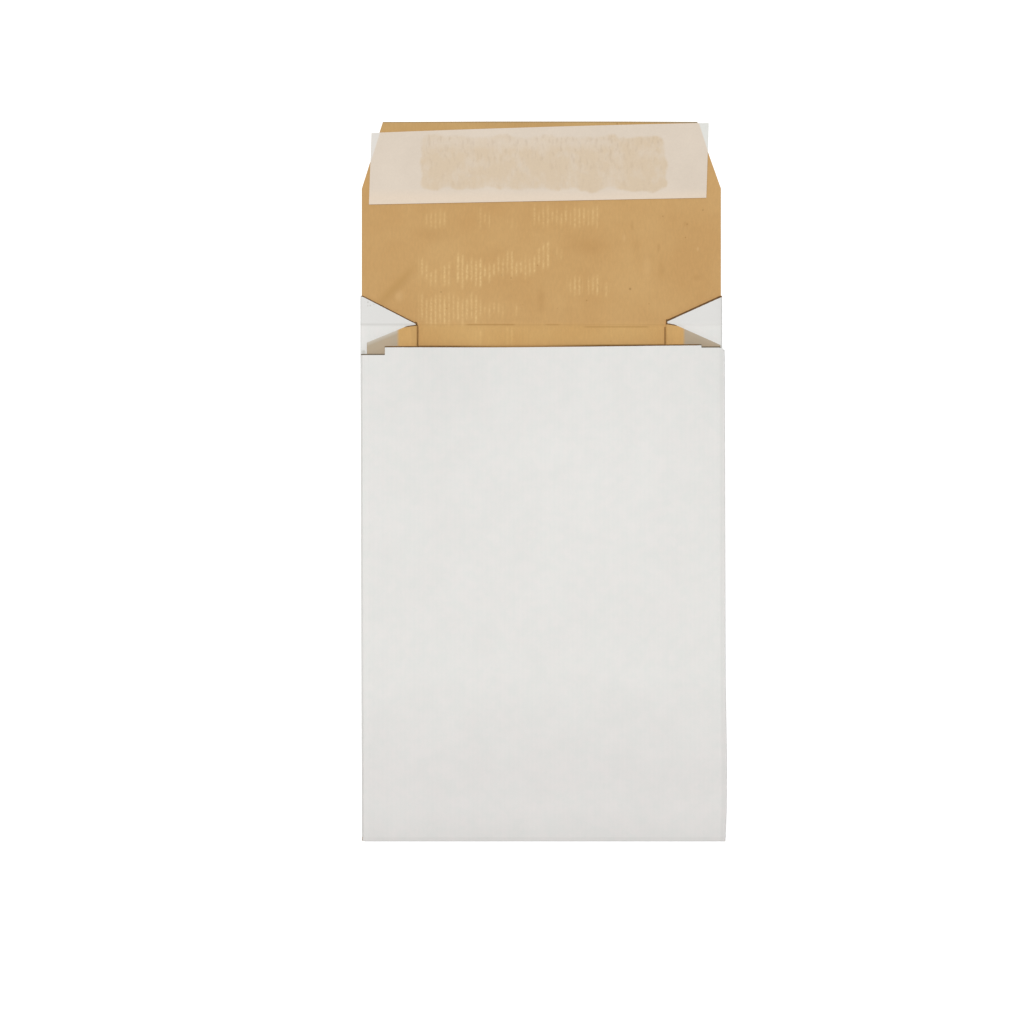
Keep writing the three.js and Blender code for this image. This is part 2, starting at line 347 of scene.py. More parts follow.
# Painted shade in the score's groove: a faint line across the flap's hinge, darker in three stretches.
off = add(tree, "ShaderNodeMath", {0: spot.outputs[1], 1: SCORE_Y}, operation="SUBTRACT")
off = add(tree, "ShaderNodeMath", {0: off.outputs[0]}, operation="ABSOLUTE")
line = add(tree, "ShaderNodeMapRange", {0: off.outputs[0], 1: 0.45 * mm, 2: 0.1 * mm, 4: 0.15})
for left, right, height, strength in SCORE_MARKS:
    off = add(tree, "ShaderNodeMath", {0: spot.outputs[1], 1: height * mm}, operation="SUBTRACT")
    off = add(tree, "ShaderNodeMath", {0: off.outputs[0]}, operation="ABSOLUTE")
    mark = add(tree, "ShaderNodeMapRange", {0: off.outputs[0], 1: 0.5 * mm, 2: 0.1 * mm, 4: strength})
    off = add(tree, "ShaderNodeMath", {0: spot.outputs[0], 1: (left + right) / 2 * mm}, operation="SUBTRACT")
    off = add(tree, "ShaderNodeMath", {0: off.outputs[0]}, operation="ABSOLUTE")
    half = (right - left) / 2 * mm
    span = add(tree, "ShaderNodeMapRange", {0: off.outputs[0], 1: half + mm, 2: half - mm})
    mark = add(tree, "ShaderNodeMath", {0: mark.outputs[0], 1: span.outputs[0]}, operation="MULTIPLY")
    line = add(tree, "ShaderNodeMath", {0: line.outputs[0], 1: mark.outputs[0]}, operation="MAXIMUM")
tone = add(
    tree,
    "ShaderNodeMix",
    {0: line.outputs[0], 6: tone.outputs[2], 7: linear("#a57c46")},
    data_type="RGBA",
)
# Painted shadow on the address panel, just past the mouth edge and beside the gusset creases.
under = add(tree, "ShaderNodeMath", {0: spot.outputs[2], 1: LOW_FOLD_Z}, operation="LESS_THAN")
level = add(
    tree,
    "ShaderNodeMath",
    {0: spot.outputs[0], 1: -0.5 * MOUTH_SKEW / FLAT_X, 2: 0.5 * MOUTH_SKEW - MOUTH_Y},
    operation="MULTIPLY_ADD",
)
above = add(tree, "ShaderNodeMath", {0: spot.outputs[1], 1: level.outputs[0]}, operation="ADD")
near = add(tree, "ShaderNodeMapRange", {0: above.outputs[0], 1: 0.9 * mm, 2: 0.25 * mm})
# The painted shadow at the mouth is fainter where the panel sags closest, a little left of the middle.
off = add(tree, "ShaderNodeMath", {0: spot.outputs[0], 1: SAG_X}, operation="SUBTRACT")
off = add(tree, "ShaderNodeMath", {0: off.outputs[0]}, operation="ABSOLUTE")
open_side = add(tree, "ShaderNodeMapRange", {0: off.outputs[0], 1: 12 * mm, 2: 40 * mm, 3: 0.25, 4: 0.85})
near = add(tree, "ShaderNodeMath", {0: near.outputs[0], 1: open_side.outputs[0]}, operation="MULTIPLY")
hidden = add(tree, "ShaderNodeMath", {0: spot.outputs[1], 1: SCORE_Y - mm}, operation="LESS_THAN")
for crease_x, strength in CREASE_SHADES:
    off = add(tree, "ShaderNodeMath", {0: spot.outputs[0], 1: crease_x}, operation="SUBTRACT")
    off = add(tree, "ShaderNodeMath", {0: off.outputs[0]}, operation="ABSOLUTE")
    line = add(tree, "ShaderNodeMapRange", {0: off.outputs[0], 1: 0.4 * mm, 2: 0.1 * mm, 4: strength})
    line = add(tree, "ShaderNodeMath", {0: line.outputs[0], 1: hidden.outputs[0]}, operation="MULTIPLY")
    near = add(tree, "ShaderNodeMath", {0: near.outputs[0], 1: line.outputs[0]}, operation="MAXIMUM")
near = add(tree, "ShaderNodeMath", {0: near.outputs[0], 1: under.outputs[0]}, operation="MULTIPLY")
tone = add(
    tree,
    "ShaderNodeMix",
    {0: near.outputs[0], 6: tone.outputs[2], 7: linear("#7d5930")},
    data_type="RGBA",
)
shaded = add(tree, "ShaderNodeMapRange", {0: spot.outputs[1], 1: SCORE_Y + mm, 2: SCORE_Y - mm})
tone = add(
    tree,
    "ShaderNodeMix",
    {0: shaded.outputs[0], 6: tone.outputs[2], 7: (1.045, 1.052, 1.0, 1)},
    data_type="RGBA",
    blend_type="MULTIPLY",
)
# The tip is a little dull, and its die-cut edge is crushed dark, most of all at its right end.
rightmost = add(tree, "ShaderNodeMapRange", {0: spot.outputs[0], 1: 40 * mm, 2: 66 * mm})
bruised = add(
    tree,
    "ShaderNodeMix",
    {0: rightmost.outputs[0], 6: linear("#957c5a"), 7: linear("#8b8578")},
    data_type="RGBA",
)
heavy = add(tree, "ShaderNodeMapRange", {0: rightmost.outputs[0], 3: 0.6, 4: 1.0})
edge = add(
    tree,
    "ShaderNodeMapRange",
    {0: spot.outputs[1], 1: TIP_Y - 0.55 * mm, 2: TIP_Y - 0.2 * mm, 4: heavy.outputs[0]},
)
tone = add(
    tree,
    "ShaderNodeMix",
    {0: edge.outputs[0], 6: tone.outputs[2], 7: bruised.outputs[2]},
    data_type="RGBA",
)
tip = add(tree, "ShaderNodeMapRange", {0: spot.outputs[1], 1: 150 * mm, 2: TIP_Y})
tone = add(
    tree,
    "ShaderNodeMix",
    {0: tip.outputs[0], 6: tone.outputs[2], 7: (0.945, 0.98, 0.97, 1)},
    data_type="RGBA",
    blend_type="MULTIPLY",
)
sideways = add(tree, "ShaderNodeMath", {0: spot.outputs[0], 1: 0.45 * mm}, operation="ADD")
sideways = add(tree, "ShaderNodeMath", {0: sideways.outputs[0]}, operation="ABSOLUTE")
outer = add(
    tree,
    "ShaderNodeMapRange",
    {0: sideways.outputs[0], 1: SIDE_FLAP_END_X - 0.3 * mm, 2: SIDE_FLAP_END_X + 0.9 * mm},
)
raised = add(tree, "ShaderNodeMath", {0: spot.outputs[2], 1: CREASE_Z}, operation="GREATER_THAN")
lighter = add(tree, "ShaderNodeMapRange", {0: raised.outputs[0], 3: 1, 4: 1.04})
tone = add(
    tree,
    "ShaderNodeMix",
    {0: 1.0, 6: tone.outputs[2], 7: lighter.outputs[0]},
    data_type="RGBA",
    blend_type="MULTIPLY",
)
glued = add(tree, "ShaderNodeMath", {0: outer.outputs[0], 1: raised.outputs[0]}, operation="MULTIPLY")
smears = add(tree, "ShaderNodeTexNoise", {"Vector": place, "Scale": 1 / (6 * mm), "Detail": 3})
glue = add(
    tree,
    "ShaderNodeMix",
    {0: smears.outputs[0], 6: linear("#aea38e"), 7: linear("#beaa90")},
    data_type="RGBA",
)
# Along each lap's slanted edge the grey of the glue fades softly to a pale grey, much more on the left.
for side, strength in ((-1, 0.55), (1, 0.12)):
    bend_x, bend_y = LAP_BEND[side]
    slant = Vector((side * (bend_y - LAP_CORNER_Y[side]), LAP_END_X[side] - bend_x, 0)).normalized()
    off = add(
        tree,
        "ShaderNodeVectorMath",
        {0: place, 1: (side * bend_x, bend_y, 0)},
        operation="SUBTRACT",
    )
    off = add(tree, "ShaderNodeVectorMath", {0: off.outputs[0], 1: slant}, operation="DOT_PRODUCT")
    faded = add(
        tree,
        "ShaderNodeMapRange",
        {0: off.outputs["Value"], 1: -1.8 * mm, 2: 0.1 * mm, 4: strength},
    )
    here = add(tree, "ShaderNodeMath", {0: spot.outputs[0], 1: side}, operation="MULTIPLY")
    here = add(tree, "ShaderNodeMath", {0: here.outputs[0], 1: 0}, operation="GREATER_THAN")
    faded = add(tree, "ShaderNodeMath", {0: faded.outputs[0], 1: here.outputs[0]}, operation="MULTIPLY")
    glue = add(
        tree,
        "ShaderNodeMix",
        {0: faded.outputs[0], 6: glue.outputs[2], 7: linear("#d6d3cc")},
        data_type="RGBA",
    )
rightward = add(tree, "ShaderNodeMapRange", {0: spot.outputs[0], 1: -mm, 2: mm, 3: 1.04, 4: 0.94})
glue = add(
    tree,
    "ShaderNodeMix",
    {0: 1.0, 6: glue.outputs[2], 7: rightward.outputs[0]},
    data_type="RGBA",
    blend_type="MULTIPLY",
)
tone = add(
    tree,
    "ShaderNodeMix",
    {0: glued.outputs[0], 6: tone.outputs[2], 7: glue.outputs[2]},
    data_type="RGBA",
)
bumps = add(tree, "ShaderNodeBump", {"Height": fibres.outputs[0], "Strength": 0.25, "Distance": 0.03 * mm})
skin = add(
    tree,
    "ShaderNodeBsdfPrincipled",
    {
        "Base Color": tone.outputs[2],
        "Roughness": 0.8,
        "Specular IOR Level": 0.25,
        "Normal": bumps.outputs[0],
    },
)
tree.links.new(skin.outputs[0], out.inputs["Surface"])

# The outer liner is white coated paper over the same flutes: a trace of warmth, soft mottling, and
# the flutes barely showing.
white, tree, out = new_material("white_coated_paper")
place = add(tree, "ShaderNodeTexCoord").outputs["Object"]
spot = add(tree, "ShaderNodeSeparateXYZ", {0: place})
clouds = add(tree, "ShaderNodeTexNoise", {"Vector": place, "Scale": 1 / (14 * mm), "Detail": 5})
cloudy = add(tree, "ShaderNodeMapRange", {0: clouds.outputs[0], 1: 0.35, 2: 0.65})
tone = add(
    tree,
    "ShaderNodeMix",
    {0: cloudy.outputs[0], 6: linear("#e3e2df"), 7: linear("#e5e4e1")},
    data_type="RGBA",
)
mottles = add(
    tree,
    "ShaderNodeTexNoise",
    {"Vector": place, "Scale": 1 / (4.5 * mm), "Detail": 3, "Roughness": 0.6},
)
mottled = add(tree, "ShaderNodeMapRange", {0: mottles.outputs[0], 1: 0.35, 2: 0.65})
tint = add(
    tree,
    "ShaderNodeMix",
    {0: mottled.outputs[0], 6: (0.98, 0.992, 0.986, 1), 7: (1.018, 1.006, 1.004, 1)},
    data_type="RGBA",
)
tone = add(
    tree,
    "ShaderNodeMix",
    {0: 1.0, 6: tone.outputs[2], 7: tint.outputs[2]},
    data_type="RGBA",
    blend_type="MULTIPLY",
)
around = add(tree, "ShaderNodeMath", {0: spot.outputs[0], 1: 2 * math.pi / FLUTE}, operation="MULTIPLY")
wave = add(tree, "ShaderNodeMath", {0: around.outputs[0]}, operation="SINE")
fluted = add(tree, "ShaderNodeMapRange", {0: wave.outputs[0], 1: -1, 2: 1, 3: 0.9965, 4: 1.0035})
tone = add(
    tree,
    "ShaderNodeMix",
    {0: 1.0, 6: tone.outputs[2], 7: fluted.outputs[0]},
    data_type="RGBA",
    blend_type="MULTIPLY",
)
foot = add(tree, "ShaderNodeMapRange", {0: spot.outputs[1], 1: -85 * mm, 2: -130 * mm})
tone = add(
    tree,
    "ShaderNodeMix",
    {0: foot.outputs[0], 6: tone.outputs[2], 7: (0.945, 0.935, 0.94, 1)},
    data_type="RGBA",
    blend_type="MULTIPLY",
)
head = add(tree, "ShaderNodeMapRange", {0: spot.outputs[1], 1: 15 * mm, 2: 45 * mm, 4: 0.02})
ahead = add(tree, "ShaderNodeMapRange", {0: spot.outputs[1], 1: MOUTH_Y + mm, 2: MOUTH_Y})
head = add(tree, "ShaderNodeMath", {0: head.outputs[0], 1: ahead.outputs[0]}, operation="MULTIPLY")
head = add(tree, "ShaderNodeMath", {0: 1, 1: head.outputs[0]}, operation="SUBTRACT")
tone = add(
    tree,
    "ShaderNodeMix",
    {0: 1.0, 6: tone.outputs[2], 7: head.outputs[0]},
    data_type="RGBA",
    blend_type="MULTIPLY",
)
# Beyond the score, where the gusset wings tilt, the white is painted a shade darker.
beyond = add(tree, "ShaderNodeMapRange", {0: spot.outputs[1], 1: SCORE_Y, 2: SCORE_Y + 0.6 * mm})
tone = add(
    tree,
    "ShaderNodeMix",
    {0: beyond.outputs[0], 6: tone.outputs[2], 7: linear("#dfdedb")},
    data_type="RGBA",
)
# Painted shade along the crease at the score, stronger on the left.
off = add(tree, "ShaderNodeMath", {0: spot.outputs[1], 1: SCORE_Y}, operation="SUBTRACT")
off = add(tree, "ShaderNodeMath", {0: off.outputs[0]}, operation="ABSOLUTE")
clearer = add(tree, "ShaderNodeMapRange", {0: spot.outputs[0], 1: mm, 2: -mm, 3: 0.25, 4: 0.75})
line = add(
    tree,
    "ShaderNodeMapRange",
    {0: off.outputs[0], 1: 0.8 * mm, 2: 0.1 * mm, 4: clearer.outputs[0]},
)
tone = add(
    tree,
    "ShaderNodeMix",
    {0: line.outputs[0], 6: tone.outputs[2], 7: linear("#cfceca")},
    data_type="RGBA",
)
flat = add(tree, "ShaderNodeVectorMath", {0: place, 1: (1, 1, 0)}, operation="MULTIPLY")
for speck_x, speck_y, radius in WING_SPECKS:
    off = add(
        tree,
        "ShaderNodeVectorMath",
        {0: flat.outputs[0], 1: (speck_x * mm, speck_y * mm, 0)},
        operation="DISTANCE",
    )
    speck = add(
        tree,
        "ShaderNodeMapRange",
        {0: off.outputs["Value"], 1: radius * mm, 2: 0.3 * radius * mm, 4: 0.5},
    )
    tone = add(
        tree,
        "ShaderNodeMix",
        {0: speck.outputs[0], 6: tone.outputs[2], 7: linear("#a9a49b")},
        data_type="RGBA",
    )
fibres = add(
    tree,
    "ShaderNodeTexNoise",
    {"Vector": place, "Scale": 1 / (1.2 * mm), "Detail": 3, "Roughness": 0.7},
)
bumps = add(tree, "ShaderNodeBump", {"Height": fibres.outputs[0], "Strength": 0.2, "Distance": 0.03 * mm})
skin = add(
    tree,
    "ShaderNodeBsdfPrincipled",
    {
        "Base Color": tone.outputs[2],
        "Roughness": 0.6,
        "Specular IOR Level": 0.3,
        "Normal": bumps.outputs[0],
    },
)
tree.links.new(skin.outputs[0], out.inputs["Surface"])

# A cut edge shows the wavy medium between the two liners, with painted shadow in the hollows.
edge_paint, tree, out = new_material("fluted_cut_edge")
place = add(tree, "ShaderNodeTexCoord").outputs["Object"]
spot = add(tree, "ShaderNodeSeparateXYZ", {0: place})
around = add(tree, "ShaderNodeMath", {0: spot.outputs[0], 1: 2 * math.pi / FLUTE}, operation="MULTIPLY")
wave = add(tree, "ShaderNodeMath", {0: around.outputs[0]}, operation="SINE")
medium = add(tree, "ShaderNodeMath", {0: wave.outputs[0], 1: 0.3, 2: 0.5}, operation="MULTIPLY_ADD")
through = add(tree, "ShaderNodeAttribute", attribute_name="depth")
apart = add(tree, "ShaderNodeMath", {0: through.outputs["Fac"], 1: medium.outputs[0]}, operation="SUBTRACT")
apart = add(tree, "ShaderNodeMath", {0: apart.outputs[0]}, operation="ABSOLUTE")
hollow = add(tree, "ShaderNodeMapRange", {0: apart.outputs[0], 1: 0.08, 2: 0.14})
tone = add(
    tree,
    "ShaderNodeMix",
    {0: hollow.outputs[0], 6: linear("#b88f59"), 7: linear("#503519")},
    data_type="RGBA",
)
rind = add(tree, "ShaderNodeMath", {0: through.outputs["Fac"], 1: 0.5}, operation="SUBTRACT")
rind = add(tree, "ShaderNodeMath", {0: rind.outputs[0]}, operation="ABSOLUTE")
rind = add(tree, "ShaderNodeMapRange", {0: rind.outputs[0], 1: 0.36, 2: 0.4})
tone = add(
    tree,
    "ShaderNodeMix",
    {0: rind.outputs[0], 6: tone.outputs[2], 7: linear("#b68c57")},
    data_type="RGBA",
)
skin = add(
    tree,
    "ShaderNodeBsdfPrincipled",
    {"Base Color": tone.outputs[2], "Roughness": 0.9, "Specular IOR Level": 0.2},
)
tree.links.new(skin.outputs[0], out.inputs["Surface"])

# Beside a die-cut edge a dark strip is painted: partly the white coat crushed down to the brown
# paper below it, partly painted shadow in the gap along the cut.
crushed_edge_shadow, tree, out = new_material("crushed_edge_and_painted_shadow")
place = add(tree, "ShaderNodeTexCoord").outputs["Object"]
frayed = add(tree, "ShaderNodeTexNoise", {"Vector": place, "Scale": 1 / (1.5 * mm), "Detail": 3})
tone = add(
    tree,
    "ShaderNodeMix",
    {0: frayed.outputs[0], 6: linear("#3f2a17"), 7: linear("#8a673f")},
    data_type="RGBA",
)
# Along the bottoms of the notches the strip is greyer, as painted shadow under the notch's edge.
spot = add(tree, "ShaderNodeSeparateXYZ", {0: place})
sideways = add(tree, "ShaderNodeMath", {0: spot.outputs[0]}, operation="ABSOLUTE")
outer = add(tree, "ShaderNodeMapRange", {0: sideways.outputs[0], 1: 69 * mm, 2: 70 * mm, 4: 0.75})
lower = add(tree, "ShaderNodeMath", {0: spot.outputs[1], 1: MOUTH_Y}, operation="LESS_THAN")
greyer = add(tree, "ShaderNodeMath", {0: outer.outputs[0], 1: lower.outputs[0]}, operation="MULTIPLY")
tone = add(
    tree,
    "ShaderNodeMix",
    {0: greyer.outputs[0], 6: tone.outputs[2], 7: linear("#6d6657")},
    data_type="RGBA",
)
# Along the middle of the mouth the strip is paler: the painted shadow is thinner where the mouth panel sags
# close.
off = add(tree, "ShaderNodeMath", {0: spot.outputs[0], 1: SAG_X + 4 * mm}, operation="SUBTRACT")
off = add(tree, "ShaderNodeMath", {0: off.outputs[0]}, operation="ABSOLUTE")
paler = add(tree, "ShaderNodeMapRange", {0: off.outputs[0], 1: 32 * mm, 2: 14 * mm, 4: 0.65})
tone = add(
    tree,
    "ShaderNodeMix",
    {0: paler.outputs[0], 6: tone.outputs[2], 7: linear("#a5814f")},
    data_type="RGBA",
)
skin = add(
    tree,
    "ShaderNodeBsdfPrincipled",
    {"Base Color": tone.outputs[2], "Roughness": 0.9, "Specular IOR Level": 0.2},
)
tree.links.new(skin.outputs[0], out.inputs["Surface"])

bpy.ops.mesh.primitive_grid_add(x_subdivisions=COLUMNS, y_subdivisions=FLAP_ROWS, size=1)
board = bpy.context.object
board.name = "envelope_board"
for layer in (kraft, white, edge_paint, kraft, crushed_edge_shadow, edge_paint):
    board.data.materials.append(layer)
flap_length = TIP_Y - SCORE_Y
board.data.transform(
    Matrix.Translation((0, SCORE_Y + flap_length / 2, BOARD / 2))
    @ Matrix.Diagonal((2 * FLAT_X, flap_length, 1, 1))
)
bpy.ops.object.mode_set(mode="EDIT")
bpy.ops.mesh.select_mode(type="EDGE")


def at(value, target):
    return abs(value - target) < 0.01 * mm


def pick_edges(wanted):
    """Selects, of the mesh being edited, the edges whose two ends both pass."""
    bpy.ops.mesh.select_all(action="DESELECT")
    sheet = bmesh.from_edit_mesh(bpy.context.object.data)
    for edge in sheet.edges:
        if wanted(edge.verts[0].co) and wanted(edge.verts[1].co):
            edge.select_set(True)
    sheet.select_flush_mode()
    bmesh.update_edit_mesh(bpy.context.object.data)


def pick_faces(wanted):
    """Selects, of the mesh being edited, the faces whose middle passes."""
    bpy.ops.mesh.select_all(action="DESELECT")
    sheet = bmesh.from_edit_mesh(bpy.context.object.data)
    for face in sheet.faces:
        if wanted(face.calc_center_median()):
            face.select_set(True)
    bmesh.update_edit_mesh(bpy.context.object.data)


def extend(x, y, z, steps):
    """Draws the selected edge out along a straight line, in equal steps."""
    for _ in range(steps):
        bpy.ops.mesh.extrude_region_move(
            TRANSFORM_OT_translate={"value": (x / steps, y / steps, z / steps)}
        )


def fold(centre, axis, turn, steps):
    """Draws the selected edge round a fold, by a right-handed turn about the axis."""
    bpy.ops.mesh.spin(steps=steps, angle=-turn, center=centre, axis=axis)


def cut(point, away, clear=True):
    """Cuts what is selected along a plane, and clears the side that away points to."""
    away = Vector(away).normalized()
    bpy.ops.mesh.bisect(plane_co=point, plane_no=away, clear_outer=clear, threshold=0.001 * mm)


def crush_and_shade(wanted, point, away, width, slot):
    """Cuts the wanted faces as cut does, and marks the strip beside it, painted dark for the crushed edge
    and its shadow.
    """
    pick_faces(wanted)
    cut(point, away)
    away = Vector(away).normalized()
    pick_faces(wanted)
    cut(Vector(point) - width * away, away, clear=False)
    pick_faces(lambda p: wanted(p) and (p - Vector(point)).dot(away) > -width)
    bpy.context.object.active_material_index = slot
    bpy.ops.object.material_slot_assign()


# The address panel runs from the score to the bottom fold, with close rows beside the score, and
# the bottom fold brings the mouth panel back over it.
pick_edges(lambda p: at(p.y, SCORE_Y))
score_rows = 3 * mm
extend(0, -score_rows, 0, 6)
extend(0, FOOT_Y - SCORE_Y + score_rows, 0, 18)
fold((0, FOOT_Y, BOARD / 2 + FOOT_RADIUS), (1, 0, 0), -math.pi / 2, 6)
extend(0, 0, THICKNESS - BOARD - FOOT_RADIUS - TOP_RADIUS, 2)
fold((0, FOOT_TOP_Y, THICKNESS - BOARD / 2 - TOP_RADIUS), (1, 0, 0), -math.pi / 2, 6)
mouth_zone = 60 * mm
foot_rows = 1.5 * mm
extend(0, foot_rows, 0, 4)
extend(0, MOUTH_Y - mouth_zone - FOOT_TOP_Y - foot_rows, 0, 12)
extend(0, mouth_zone, 0, 14)

# The bottom fold runs on to the corners of the pack, beside the ends of the side folds.
CORNER = 0.95 * mm
for side in (-1, 1):
    pick_edges(
        lambda p: at(p.x, side * FLAT_X)
        and p.y < (FOOT_Y if p.z < CREASE_Z else FOOT_TOP_Y) + NEAR
    )
    extend(side * CORNER, 0, 0, 2)

# The flap is a trace wider than the panel, and its corners are cut off on a slant.
FLAP_SPARE = {-1: 0.3 * mm, 1: 0.5 * mm}
CHAMFER_X = 70.4 * mm
CHAMFER_Y = 131.0 * mm
TIP_SHIFT = -0.5 * mm
for height in (GUSSET_TOP_Y, SCORE_Y + 0.5 * mm, SCORE_Y + 1 * mm):
    pick_faces(lambda p: p.y > SCORE_Y)
    cut((0, height, 0), (0, 1, 0), clear=False)
for side in (-1, 1):
    pick_edges(lambda p: at(p.x, side * FLAT_X) and p.y > GUSSET_TOP_Y - NEAR)
    extend(side * FLAP_SPARE[side], 0, 0, 1)
    pick_faces(lambda p: p.y > CHAMFER_Y - 5 * mm and side * p.x > CHAMFER_X - 5 * mm)
    corner = FLAT_X + FLAP_SPARE[side]
    slant = (side * (TIP_Y - CHAMFER_Y), corner - CHAMFER_X - side * TIP_SHIFT, 0)
    cut((side * corner, CHAMFER_Y, 0), slant)

# Each gusset wing grows from the address panel's side: fold, outer half, crease, lap. Its free edge
# falls from the side fold to the crease on the flap's side, and on from there to the lap's corner.
run = FLAT_X - CREASE_X
low_rise = CREASE_Z - LOW_FOLD_Z
high_rise = HIGH_FOLD_Z - CREASE_Z
pinch = 2 * FOLD_RADIUS
low_slope = math.atan2(low_rise, run) - math.asin(pinch / math.hypot(run, low_rise))
pinch = 2 * FOLD_RADIUS + BOARD + GLUE_FILM
lap_slope = math.atan2(high_rise, run) - math.asin(pinch / math.hypot(run, high_rise))
SHOULDER_X = 79.8 * mm
LOW_WING_Z = 1.4 * mm
LAP_TOP_Z = 5 * mm
for side in (-1, 1):
    across = (0, -side, 0)
    pick_edges(
        lambda p: at(p.x, side * FLAT_X) and at(p.z, BOARD / 2) and p.y < GUSSET_TOP_Y + NEAR
    )
    fold((side * FLAT_X, 0, LOW_FOLD_Z), across, math.pi - low_slope, 8)
    length = run + FOLD_RADIUS * 2 * math.sin(low_slope)
    extend(-side * length, 0, length * math.tan(low_slope), 12)
    tip_x, tip_y = CUT_TIP[side]
    slant = (-side * (GUSSET_TOP_Y - tip_y), SHOULDER_X - tip_x, 0)
    crush_and_shade(
        lambda p: p.y > 0 and LOW_WING_Z < p.z < CREASE_Z and side * p.x > WING_X,
        (side * tip_x, tip_y, 0),
        slant,
        CRUSHED_AND_SHADED[side],
        WHITE_CRUSHED_AND_SHADED_SLOT,
    )
    low_crease = CREASE_Z - FOLD_RADIUS * math.cos(low_slope)
    pick_edges(lambda p: at(p.z, low_crease) and side * p.x > WING_X)
    bent = math.pi - low_slope - lap_slope
    fold((side * CREASE_X, 0, CREASE_Z), across, -bent, 8)
    lap_end = LAP_END_X[side]
    length = lap_end - CREASE_X + FOLD_RADIUS * math.sin(lap_slope)
    extend(side * length, 0, length * math.tan(lap_slope), 11)
    start_x, start_y = LAP_START[side]
    bend_x, bend_y = LAP_BEND[side]
    pick_faces(lambda p: p.y > 0 and CREASE_Z < p.z < LAP_TOP_Z and side * p.x > WING_X)
    cut((side * bend_x, bend_y, 0), (side * (bend_y - LAP_CORNER_Y[side]), lap_end - bend_x, 0))
    crush_and_shade(
        lambda p: p.y > bend_y - mm and CREASE_Z < p.z < LAP_TOP_Z and side * p.x > WING_X,
        (side * bend_x, bend_y, 0),
        (side * (start_y - bend_y), bend_x - start_x, 0),
        LAP_CRUSHED_AND_SHADED,
        BROWN_CRUSHED_AND_SHADED_SLOT,
    )

# The mouth panel's top corners are notched, and its side flaps fold in below them onto the laps.
# The right corner is worn a little round.
NOTCH_X = 70.5 * mm
NOTCH_Y = {-1: 56.5 * mm, 1: 59.8 * mm}
CORNER_ZONE_X = 60 * mm
WORN_X = 78.6 * mm
WORN_Y = 50 * mm
WORN_Z = 4.6 * mm
for side in (-1, 1):
    top = NOTCH_Y[side]
    pick_faces(lambda p: p.z > MOUTH_PANEL_Z and p.y > 0 and side * p.x > CORNER_ZONE_X)
    cut((0, top, 0), (0, 1, 0), clear=False)
    pick_faces(lambda p: p.z > MOUTH_PANEL_Z and p.y > top and side * p.x > NOTCH_X)
    bpy.ops.mesh.delete(type="FACE")
    # Along the bottom of each notch a strip is painted dark, for its crushed edge and the shadow below it.
    pick_faces(lambda p: p.z > MOUTH_PANEL_Z and p.y > 0 and side * p.x > CORNER_ZONE_X)
    cut((0, top - MOUTH_CRUSHED_AND_SHADED, 0), (0, 1, 0), clear=False)
    pick_faces(
        lambda p: p.z > MOUTH_PANEL_Z and p.y > top - MOUTH_CRUSHED_AND_SHADED and side * p.x > NOTCH_X
    )
    board.active_material_index = WHITE_CRUSHED_AND_SHADED_SLOT
    bpy.ops.object.material_slot_assign()
    pick_edges(lambda p: at(p.x, side * FLAT_X) and at(p.z, THICKNESS - BOARD / 2))
    fold((side * FLAT_X, 0, HIGH_FOLD_Z), (0, -side, 0), -(math.pi - lap_slope), 8)
    length = FLAT_X - SIDE_FLAP_END_X - FOLD_RADIUS * math.sin(lap_slope)
    extend(-side * length, 0, -length * math.tan(lap_slope), 8)
pick_faces(lambda p: p.z > WORN_Z and p.y > WORN_Y and p.x > WORN_X)
cut((WORN_X, NOTCH_Y[1], 0), (0.7, 1, 0))

# The mouth edge runs a little askew. A dark strip is painted along it for its crushed edge and the
# shadow in the gap below it.
askew = (MOUTH_SKEW, -2 * FLAT_X, 0)
crush_and_shade(
    lambda p: p.z > MOUTH_PANEL_Z and p.y > MOUTH_Y - 5 * mm and abs(p.x) < NOTCH_X,
    (FLAT_X, MOUTH_Y, 0),
    (-askew[0], -askew[1], 0),
    MOUTH_CRUSHED_AND_SHADED,
    WHITE_CRUSHED_AND_SHADED_SLOT,
)
bpy.ops.mesh.select_all(action="SELECT")
bpy.ops.mesh.normals_make_consistent(inside=True)
bpy.ops.object.mode_set(mode="OBJECT")


def paint(group, weight):
    """Paints a vertex group over the active piece, each vertex by its place."""
    sheet = bpy.context.object
    made = sheet.vertex_groups.new(name=group)
    for corner in sheet.data.vertices:
        value = weight(corner.co)
        if value > 0:
            made.add([corner.index], min(value, 1), "REPLACE")


def press(group, distance, axis="Z"):
    """Moves the active piece along an axis where a group is painted, and clears the group."""
    sheet = bpy.context.object
    push = sheet.modifiers.new(group, "DISPLACE")
    push.direction = axis
    push.mid_level = 0
    push.strength = distance
    push.vertex_group = group
    bpy.ops.object.modifier_apply(modifier=group)
    sheet.vertex_groups.remove(sheet.vertex_groups[group])


def smooth(value, start, end):
    """Rises softly from 0 at start to 1 at end, which may be the lower of the two."""
    t = min(max((value - start) / (end - start), 0), 1)
    return t * t * (3 - 2 * t)


# The gussets are pressed down until their creases all but rest on the address panel, while the
# outer panels, the bottom fold and the side folds stay where they are.
def press_gusset(p):
    if p.z < LOW_FOLD_Z or p.z > THICKNESS - 0.7 * mm or p.y < FOOT_Y - 0.7 * mm:
        return 0
    if abs(p.x) < CREASE_X - 2 * mm:
        return 0
    return smooth(abs(p.x), FLAT_X, CREASE_X)


paint("gussets", press_gusset)
press("gussets", -1.05 * mm)


# The mouth panel sags between the gussets until it all but meets the address panel, most of all a
# little left of the middle.
def sag(p):
    if p.z < MOUTH_PANEL_Z:
        return 0
    reach = 60 * mm if p.x < SAG_X else 84 * mm
    across = max(1 - ((p.x - SAG_X) / reach) ** 2, 0) ** 2
    return across * smooth(p.y, -70 * mm, 55 * mm)


